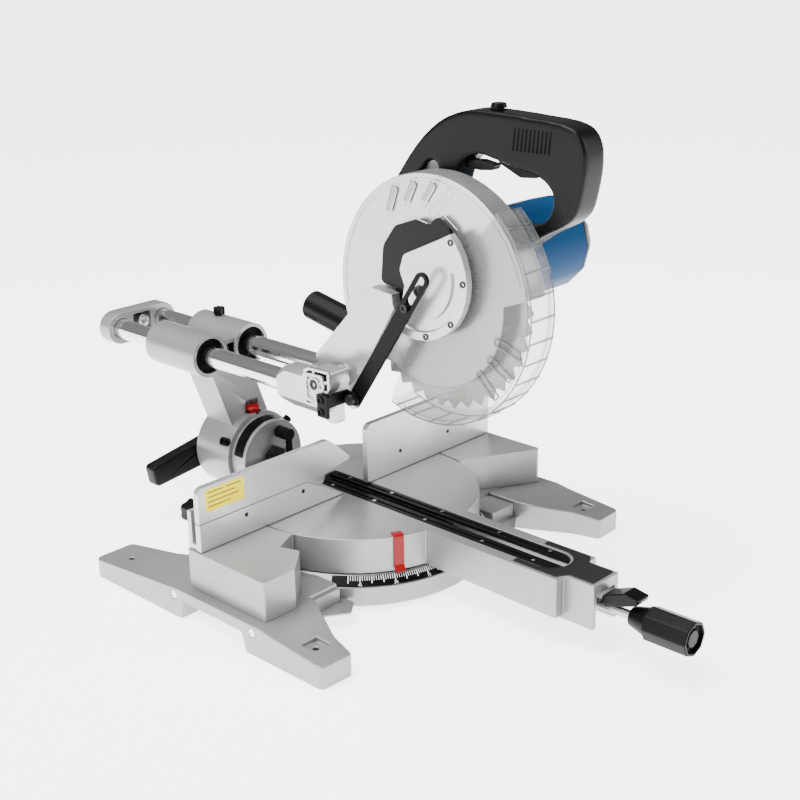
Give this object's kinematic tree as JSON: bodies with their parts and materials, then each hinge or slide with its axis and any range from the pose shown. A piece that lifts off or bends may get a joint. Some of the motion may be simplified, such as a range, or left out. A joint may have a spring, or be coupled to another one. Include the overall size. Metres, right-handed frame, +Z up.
{
  "type": "sliding compound mitre saw",
  "caption": "Sliding compound mitre saw on a four-footed cast base, with a turntable, tilting twin-rail housing, sliding head, clear lower guard and D handle.",
  "frame": {"origin": "on the turntable pivot axis at bench level, on the foot pad under the pivot", "axes": "+X to the operator's right, +Y towards the back, +Z up; the operator stands at -Y"},
  "size_m": [0.512, 0.861, 0.549],
  "materials": {
    "cast_alu": "satin",
    "machined_alu": "satin",
    "bright_steel": "polished",
    "blade_steel": "brushed",
    "dark_steel": "satin",
    "black_plastic": "matte",
    "black_metal": "satin",
    "grey_plastic": "satin",
    "blue_plastic": "satin",
    "red_plastic": "satin",
    "clear_plastic": "clear",
    "seal_rubber": "matte",
    "copper_winding": "satin"
  },
  "bodies": {
    "base": {"base_casting": "cast_alu", "left_foot": "cast_alu", "right_foot": "cast_alu", "mitre_scale": "black_metal", "right_fence": "machined_alu", "left_fence": "machined_alu"},
    "fence_knob": {"fence_clamp_knob": "black_plastic"},
    "left_slider": {"sliding_fence": "machined_alu"},
    "turntable": {"turntable_casting": "cast_alu", "kerf_insert_left": "black_plastic", "kerf_insert_right": "black_plastic", "arm_cover": "grey_plastic", "mitre_pointer": "red_plastic", "table_pivot_bolt": "blade_steel", "bevel_scale": "black_metal", "bevel_shaft": "dark_steel"},
    "mitre_knob": {"mitre_lock_knob": "black_plastic", "mitre_lock_rod": "blade_steel"},
    "detent": {"detent_lever": "black_plastic"},
    "bevel_pin": {"bevel_detent_pin": "black_plastic"},
    "bevel_lever": {"bevel_lock_lever": "black_plastic"},
    "tilt": {"tilt_casting": "cast_alu", "left_rail_bushing": "seal_rubber", "right_rail_bushing": "seal_rubber", "left_stop_bolt": "black_metal", "right_stop_bolt": "black_metal"},
    "bevel_release": {"bevel_button": "red_plastic"},
    "rail_lock": {"rail_lock_knob": "black_plastic"},
    "carriage": {"left_rail": "bright_steel", "right_rail": "bright_steel", "rail_yoke": "cast_alu", "cable_hook": "bright_steel", "carriage_casting": "cast_alu", "carriage_side_plate": "machined_alu", "hinge_pin": "dark_steel", "link_bracket": "black_metal", "link_foot_bolt": "dark_steel"},
    "link": {"guard_link": "black_metal"},
    "head": {"upper_guard": "cast_alu", "arbor_cover": "black_plastic", "guard_cover_plate": "machined_alu", "dust_port": "black_plastic", "gear_housing": "black_plastic", "spindle_bearing": "blade_steel", "motor_housing": "blue_plastic", "motor_end_cap": "grey_plastic", "motor_stator": "dark_steel", "handle_left_shell": "black_plastic", "handle_right_shell": "black_plastic"},
    "rotor": {"motor_rotor": "copper_winding"},
    "blade": {"saw_blade": "blade_steel", "spindle": "blade_steel", "inner_flange": "dark_steel", "outer_flange": "dark_steel", "blade_bolt": "dark_steel", "spindle_gear": "dark_steel"},
    "shield": {"lower_guard": "clear_plastic"},
    "trigger": {"switch_trigger": "black_plastic"},
    "lock_off": {"lock_off_button": "black_plastic"},
    "guard_lever": {"guard_release_lever": "dark_steel"}
  },
  "joints": [
    {"name": "mitre_swivel", "type": "hinge", "parent": "base", "child": "turntable", "pos_m": [0, 0, 0.082], "axis": [0, 0, -1], "range_deg": [-45, 45]},
    {"name": "bevel_tilt", "type": "hinge", "parent": "turntable", "child": "tilt", "pos_m": [0, 0.178, 0.082], "axis": [0, -1, 0], "range_deg": [0, 45]},
    {"name": "head_slide", "type": "slide", "parent": "tilt", "child": "carriage", "axis": [0, -1, 0], "range_m": [-0.12, 0.075]},
    {"name": "head_chop", "type": "hinge", "parent": "carriage", "child": "head", "pos_m": [0, -0.016, 0.2375], "axis": [1, 0, 0], "range_deg": [0, 55], "stiffness_Nm_per_rad": 12, "springref_deg": -91.67},
    {"name": "guard_swing", "type": "hinge", "parent": "head", "child": "shield", "pos_m": [0, -0.133, 0.346], "axis": [-1, 0, 0], "range_deg": [0, 135]},
    {"name": "link_swing", "type": "hinge", "parent": "carriage", "child": "link", "pos_m": [-0.05, -0.05, 0.221], "axis": [1, 0, 0], "range_deg": [0, 62]},
    {"name": "blade_spin", "type": "hinge", "parent": "head", "child": "blade", "pos_m": [0, -0.133, 0.346], "axis": [1, 0, 0], "continuous": true},
    {"name": "motor_spin", "type": "hinge", "parent": "head", "child": "rotor", "pos_m": [0, -0.165, 0.382], "axis": [1, 0, 0], "continuous": true},
    {"name": "trigger_pull", "type": "hinge", "parent": "head", "child": "trigger", "pos_m": [0.036, -0.241, 0.487], "axis": [-1, 0, 0], "range_deg": [0, 5], "stiffness_Nm_per_rad": 0.6, "springref_deg": -5.73},
    {"name": "lock_off_press", "type": "slide", "parent": "head", "child": "lock_off", "axis": [0, 0, -1], "range_m": [0, 0.003], "stiffness_N_per_m": 300, "springref_m": -0.002},
    {"name": "guard_lever_press", "type": "hinge", "parent": "head", "child": "guard_lever", "pos_m": [0.036, -0.141, 0.484], "axis": [-1, 0, 0], "range_deg": [0, 8], "stiffness_Nm_per_rad": 0.5, "springref_deg": -5.73},
    {"name": "mitre_knob_turn", "type": "hinge", "parent": "turntable", "child": "mitre_knob", "pos_m": [0, -0.4, 0.052], "axis": [0, 1, 0], "range_deg": [-180, 180]},
    {"name": "detent_press", "type": "hinge", "parent": "turntable", "child": "detent", "pos_m": [0, -0.365, 0.066], "axis": [1, 0, 0], "range_deg": [0, 5], "stiffness_Nm_per_rad": 0.8, "springref_deg": -8.59},
    {"name": "bevel_lever_turn", "type": "hinge", "parent": "turntable", "child": "bevel_lever", "pos_m": [0, 0.255, 0.082], "axis": [0, 1, 0], "range_deg": [0, 25]},
    {"name": "bevel_pin_pull", "type": "slide", "parent": "turntable", "child": "bevel_pin", "axis": [0, -1, 0], "range_m": [0, 0.008]},
    {"name": "bevel_button_press", "type": "slide", "parent": "tilt", "child": "bevel_release", "axis": [0, 0, -1], "range_m": [0, 0.003], "stiffness_N_per_m": 300, "springref_m": -0.002},
    {"name": "rail_knob_turn", "type": "hinge", "parent": "tilt", "child": "rail_lock", "pos_m": [0.005, 0.25, 0.252], "axis": [0, 0, 1], "range_deg": [-90, 90]},
    {"name": "left_fence_slide", "type": "slide", "parent": "base", "child": "left_slider", "axis": [-1, 0, 0], "range_m": [0, 0.18]},
    {"name": "fence_knob_turn", "type": "hinge", "parent": "base", "child": "fence_knob", "pos_m": [-0.226, 0.02, 0.119], "axis": [0, 1, 0], "range_deg": [-180, 180]}
  ],
  "couplings": [
    {"joint": "guard_swing", "follows": "head_chop", "ratio": 2.44},
    {"joint": "link_swing", "follows": "head_chop", "ratio": 1.12},
    {"joint": "motor_spin", "follows": "blade_spin", "ratio": -4.4444},
    {"joint": "left_fence_slide", "follows": "bevel_tilt", "m_per_rad": 0.229}
  ]
}
